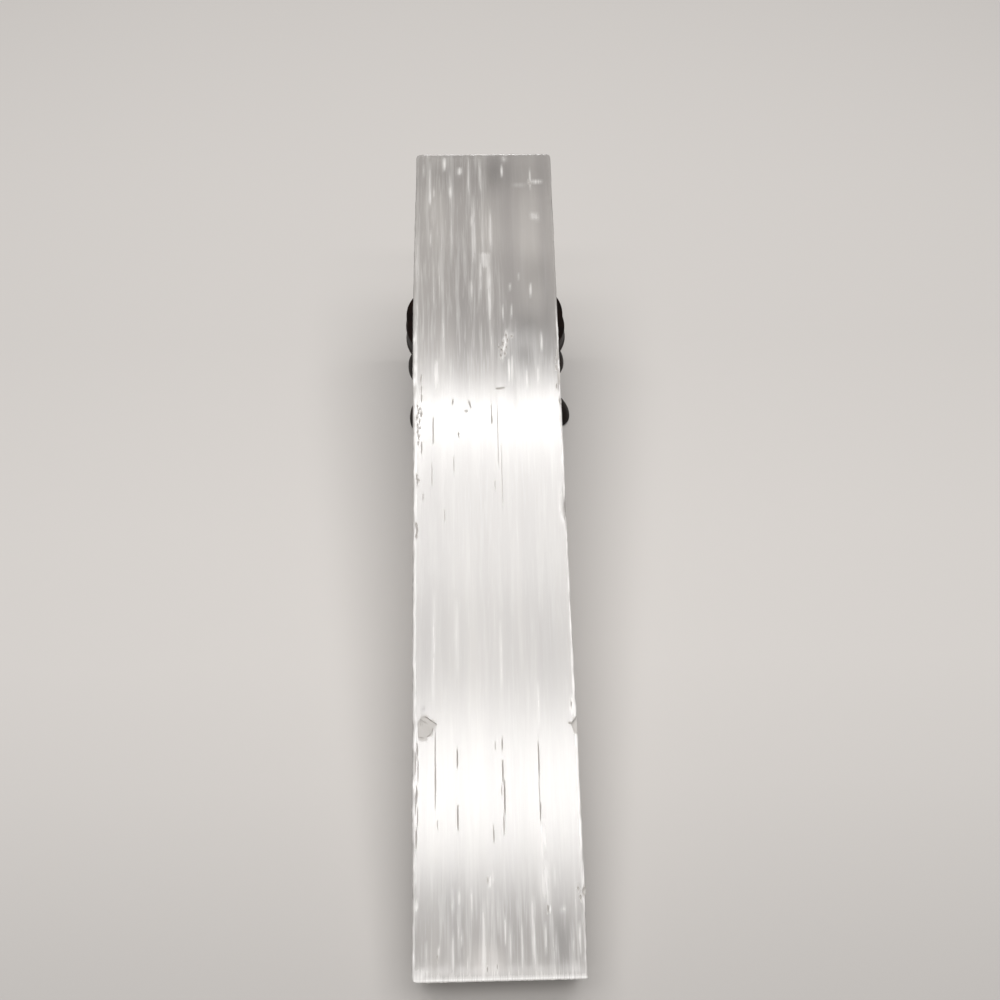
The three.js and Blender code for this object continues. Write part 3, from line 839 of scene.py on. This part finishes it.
def turned(rings, count):
    """A round piece drawn up ring by ring, each ring a radius and a height in millimetres."""
    choose(None)
    radius, height = rings[0]
    bpy.ops.mesh.primitive_circle_add(
        vertices=count, radius=radius * MM, fill_type="NGON", location=(0, 0, height * MM))
    piece = added()
    edit(piece)
    bpy.ops.mesh.select_mode(type="FACE")
    pick_all()
    for (r0, z0), (r1, z1) in zip(rings, rings[1:]):
        bpy.ops.mesh.extrude_region_move(TRANSFORM_OT_translate={"value": (0, 0, (z1 - z0) * MM)})
        bpy.ops.transform.resize(value=(r1 / r0, r1 / r0, 1), center_override=(0, 0, z1 * MM))
    face_outwards()
    choose(piece)
    return piece


class SELENITE_OT_plate(bpy.types.Operator):
    """Turn the stand's dished plate and carve its petalled rim"""
    bl_idname = "selenite.plate"
    bl_label = "Stand plate"

    # Spokes to a petal: full in the middle, with sharp valleys between.
    SPOKES = 16

    def execute(self, context):
        sizes = context.scene.selenite_stand
        r = sizes.plate_radius / MM
        low, high = PLATE_LOW.z / MM, PLATE_HIGH.z / MM
        # Up the outside from the lower lip, over the rim, and down into the dish.
        plate = turned([
            (r - 2.2, low), (r - 1.0, low + 0.05), (r - 0.1, low + 0.3), (r + 0.4, low + 0.8),
            (r + 0.25, low + 1.4), (r, low + 2.1), (r + 0.05, low + 3.0), (r + 0.05, low + 3.8),
            (r, high - 0.75), (r, high - 0.3), (r - 0.1, high - 0.04), (r - 0.5, high),
            (r - 2.2, high - 0.01), (r - 2.9, high - 0.15), (r - 3.3, high - 0.5), (r - 3.7, high - 0.8),
            (r - 4.3, high - 0.86), (r - 6.0, high - 0.88), (r - 6.3, high - 1.0), (r - 6.6, high - 0.9),
            (r - 8.0, high - 0.9), (4.0, high - 0.92),
        ], sizes.petals * self.SPOKES)
        self.carve(plate, sizes, (r - 3.0) * MM)
        use(plate, "SUBSURF", levels=1, render_levels=1, use_limit_surface=False)
        settle(plate, stand_place())
        smooth(plate, 50)
        hand_over(plate, "stand_plate", "stand_top", stained_wood(sizes))
        return {"FINISHED"}

    def carve(self, plate, sizes, inner):
        """Draws the rim out and in, spoke by spoke from a petal's valley to its middle."""
        edit(plate)
        for spoke in range(self.SPOKES // 2 + 1):
            def on_spoke(vertex, spoke=spoke):
                turn = math.atan2(vertex.co.y, vertex.co.x) / math.tau
                at = round(turn * sizes.petals * self.SPOKES) % self.SPOKES
                return vertex.co.xy.length > inner and min(at, self.SPOKES - at) == spoke
            pick(plate, on_spoke, "VERT")
            swell = math.sin(math.pi * spoke / self.SPOKES) - 0.5
            share = 1 + sizes.petal_depth * swell / sizes.plate_radius
            bpy.ops.transform.resize(value=(share, share, 1), center_override=(0, 0, PLATE_HIGH.z))
        choose(plate)


class SELENITE_OT_apron(bpy.types.Operator):
    """Turn the drum under the plate, arch it between the legs and string its beads"""
    bl_idname = "selenite.apron"
    bl_label = "Stand apron"

    # The drum's lower edge, before it is arched, and an arch's radius and how far its middle is lower.
    DRUM_LOW = 19.5
    ARCH_RADIUS = 5.2
    ARCH_BELOW = 1.6
    BEAD_RADIUS = 0.62

    def execute(self, context):
        sizes = context.scene.selenite_stand
        low, high = self.DRUM_LOW, PLATE_LOW.z / MM - 0.05
        r = sizes.drum_radius / MM
        # Up over the moulded foot, the drum, the groove that the beads lie in, and the neck.
        drum = turned([
            (r - 1.6, low), (r - 0.9, low + 0.15), (r - 0.4, low + 0.6), (r - 0.15, low + 1.3),
            (r - 0.35, low + 1.7), (r - 0.3, low + 2.0), (r, low + 2.9), (r, low + 4.2),
            (r - 0.1, low + 5.6), (r - 0.4, low + 6.9), (r - 0.9, low + 7.9), (r - 1.25, low + 8.3),
            (r - 1.2, low + 8.6), (r - 0.7, low + 8.9), (r - 0.9, low + 9.1), (r - 1.0, low + 9.6),
            (r - 0.9, low + 10.1), (r - 0.7, low + 10.3), (r - 1.2, low + 10.7), (r - 1.7, low + 11.2),
            (r - 1.9, low + 12.0), (r - 2.0, high - 3.2), (r - 1.9, high - 2.2), (r - 1.6, high - 1.6),
            (r - 1.2, high - 1.2), (r - 0.8, high - 0.7), (r - 0.7, high - 0.3), (r - 0.9, high),
        ], 96)
        for turn in (45, -45):
            self.arch(drum, math.radians(turn))
        smooth(drum, 35)
        beads = self.beads(low + 9.6, r - 0.85, sizes.beads)
        choose(drum)
        for bead in beads:
            bead.select_set(True)
        bpy.ops.object.join()
        settle(drum, stand_place())
        hand_over(drum, "stand_drum", "stand_apron", stained_wood(sizes))
        return {"FINISHED"}

    def arch(self, drum, turn):
        """Cuts one arch right through, which makes two openings."""
        choose(None)
        bpy.ops.mesh.primitive_cylinder_add(vertices=48, radius=self.ARCH_RADIUS * MM, depth=60 * MM)
        arch = added()
        lying = Matrix.Rotation(turn, 4, "Z") @ Matrix.Rotation(math.radians(90), 4, "Y")
        settle(arch, Matrix.Translation((0, 0, (self.DRUM_LOW - self.ARCH_BELOW) * MM)) @ lying)
        cut(drum, arch)

    def beads(self, height, radius, number):
        """One bead, copied round the drum."""
        choose(None)
        bpy.ops.mesh.primitive_ico_sphere_add(
            subdivisions=2, radius=self.BEAD_RADIUS * MM, location=(radius * MM, 0, height * MM))
        bead = added()
        bpy.ops.object.shade_smooth()
        string = [bead]
        for i in range(1, number):
            one = copy_of(bead)
            settle(one, Matrix.Rotation(i * math.tau / number, 4, "Z"))
            string.append(one)
        return string


class SELENITE_OT_legs(bpy.types.Operator):
    """Draw out one curved leg and set four of them round the stand"""
    bl_idname = "selenite.legs"
    bl_label = "Stand legs"

    # Height, inner and outer reach from the stand's middle, half width: millimetres.
    STATIONS = (
        (0.0, 17.6, 22.4, 2.9), (0.35, 16.6, 23.2, 3.3), (1.2, 15.9, 23.8, 3.5), (2.5, 15.6, 23.9, 3.5),
        (3.9, 15.9, 23.8, 3.4), (5.2, 16.0, 23.5, 3.35), (6.8, 15.2, 23.1, 3.3), (8.8, 14.6, 22.1, 3.2),
        (11.3, 14.4, 20.3, 3.0), (14.4, 14.6, 18.8, 2.9), (17.4, 15.2, 19.0, 3.1), (19.8, 15.7, 20.3, 3.4),
        (22.0, 16.0, 21.2, 3.8), (24.6, 16.4, 21.9, 4.1), (27.0, 16.8, 21.7, 4.1), (28.6, 17.1, 21.0, 3.8),
        (29.4, 17.4, 20.0, 3.3), (29.69, 17.8, 19.2, 2.6),
    )

    # Hand carving leaves the legs uneven: how much further out each foot kicks and each knee stands.
    LEGS = (("right", 2.33, 1.2), ("back", 0.3, 0.4), ("left", -0.95, 0.5), ("front", 0.0, 0.3))
    KICK_HEIGHT = 16
    KNEE_HEIGHT = 24.8
    KNEE_REACH = 8

    def execute(self, context):
        sizes = context.scene.selenite_stand
        for quarter, (side, kick, knee) in enumerate(self.LEGS):
            leg = self.draw_leg(kick, knee, sizes.drum_radius)
            settle(leg, stand_place() @ Matrix.Rotation(quarter * math.pi / 2, 4, "Z"))
            hand_over(leg, f"stand_foot_{side}", f"stand_leg_{side}", stained_wood(sizes))
        return {"FINISHED"}

    def draw_leg(self, kick, knee, drum_radius):
        """A rounded square drawn up through the stations, and hollowed to sit round the drum."""
        choose(None)
        bpy.ops.mesh.primitive_plane_add(size=2 * MM)
        leg = added()
        edit(leg)
        pick_all()
        bpy.ops.mesh.bevel(offset=0.78 * MM, segments=3, affect="VERTICES")
        bpy.ops.mesh.select_mode(type="FACE")
        pick_all()
        at, deep, wide = Vector((0, 0, 0)), 1.0, 1.0
        for i, (z, inner, outer, half) in enumerate(self.STATIONS):
            shift = kick * ramp_up(-z, -self.KICK_HEIGHT, 0)
            outer = outer + knee * near(z, self.KNEE_HEIGHT, self.KNEE_REACH)
            to = Vector(((inner + outer) / 2 + shift, 0, z))
            step = (to - at) * MM
            if i:
                bpy.ops.mesh.extrude_region_move(TRANSFORM_OT_translate={"value": step})
            else:
                bpy.ops.transform.translate(value=step)
            reach = (outer - inner) / 2
            bpy.ops.transform.resize(value=(reach / deep, half / wide, 1), center_override=to * MM)
            at, deep, wide = to, reach, half
        face_outwards()
        choose(leg)
        use(leg, "SUBSURF", levels=2, render_levels=2, use_limit_surface=False)
        choose(None)
        # It starts just under the drum, so it hollows the leg only where the drum is.
        bpy.ops.mesh.primitive_cylinder_add(
            vertices=128, radius=drum_radius + 0.07 * MM, depth=20 * MM, location=(0, 0, 29.2 * MM))
        cut(leg, added())
        smooth(leg, 45)
        return leg


# ---- the stage

class SELENITE_OT_stage(bpy.types.Operator):
    """Set up the floor, the lights and the camera"""
    bl_idname = "selenite.stage"
    bl_label = "Stage"

    # Panels of soft light hang in one plane, each as wide as this, and face the middle of the block.
    # They are named from the back to the front, with how far back each is, its depth and its watts.
    # The block's satin face shows them as bright and dim bands.
    HEIGHT = 0.95
    WIDTH = 0.9
    AIM = Vector((0, -0.02, 0.04))
    PANELS = (
        ("strip_back", 0.146, 0.018, 1.80), ("broad_back", 0.0505, 0.164, 2.25),
        ("between", -0.078, 0.107, 0.97), ("strip_front", -0.247, 0.113, 1.18),
        ("broad_front", -0.2494, 0.217, 3.00), ("far_front", -0.536, 0.072, 1.98),
    )

    def execute(self, context):
        scene = context.scene
        sizes = scene.selenite_stage
        choose(None)
        bpy.ops.mesh.primitive_plane_add(size=6.0)
        floor = context.object
        floor.name = "floor"
        floor.data.materials.append(matte_paper(sizes))
        for panel in self.PANELS:
            self.hang(scene, *panel)
        self.fill(scene, sizes.fill)
        self.add_camera(scene)
        scene.view_settings.view_transform = "Standard"
        return {"FINISHED"}

    def hang(self, scene, name, back, deep, watts):
        data = bpy.data.lights.new(name, "AREA")
        data.shape = "RECTANGLE"
        data.size = self.WIDTH
        data.size_y = deep
        data.energy = watts
        data.color = (1.0, 0.99, 0.984)
        lamp = bpy.data.objects.new(name, data)
        scene.collection.objects.link(lamp)
        lamp.location = Vector((0, back, self.HEIGHT))
        lamp.rotation_euler = (self.AIM - lamp.location).to_track_quat("-Z", "Y").to_euler()

    def fill(self, scene, strength):
        world = bpy.data.worlds.new("studio")
        world.use_nodes = True
        world.node_tree.nodes.clear()
        sky = node(world.node_tree, "ShaderNodeBackground", {"Color": (1, 1, 1, 1), "Strength": strength})
        node(world.node_tree, "ShaderNodeOutputWorld", {"Surface": sky})
        scene.world = world

    def add_camera(self, scene):
        data = bpy.data.cameras.new("camera")
        data.sensor_width = 36
        data.lens = 39.6
        data.clip_start = 0.01
        camera = bpy.data.objects.new("camera", data)
        scene.collection.objects.link(camera)
        tilt, roll, pan = (math.radians(angle) for angle in (38.099, -0.686, -1.521))
        turn = Euler((tilt, roll, pan)).to_matrix().to_4x4()
        camera.matrix_world = Matrix.Translation(Vector((-5.802, -159.875, 252.735)) * MM) @ turn
        scene.camera = camera


class SELENITE_PT_pieces(bpy.types.Panel):
    bl_label = "Selenite block on a stand"
    bl_space_type = "VIEW_3D"
    bl_region_type = "UI"
    bl_category = "Selenite"

    def draw(self, context):
        for operator in OPERATORS:
            self.layout.operator(operator.bl_idname)


OPERATORS = (SELENITE_OT_block, SELENITE_OT_plate, SELENITE_OT_apron, SELENITE_OT_legs, SELENITE_OT_stage)
SETTINGS = {"selenite_block": BlockSettings, "selenite_stand": StandSettings, "selenite_stage": StageSettings}
CLASSES = (*SETTINGS.values(), *OPERATORS, SELENITE_PT_pieces)


def register():
    for made in CLASSES:
        bpy.utils.register_class(made)
    for name, group in SETTINGS.items():
        setattr(bpy.types.Scene, name, PointerProperty(type=group))


def unregister():
    for name in SETTINGS:
        delattr(bpy.types.Scene, name)
    for made in reversed(CLASSES):
        bpy.utils.unregister_class(made)


def main():
    register()
    bpy.ops.selenite.block()
    bpy.ops.selenite.plate()
    bpy.ops.selenite.apron()
    bpy.ops.selenite.legs()
    bpy.ops.selenite.stage()


if __name__ == "__main__":
    main()
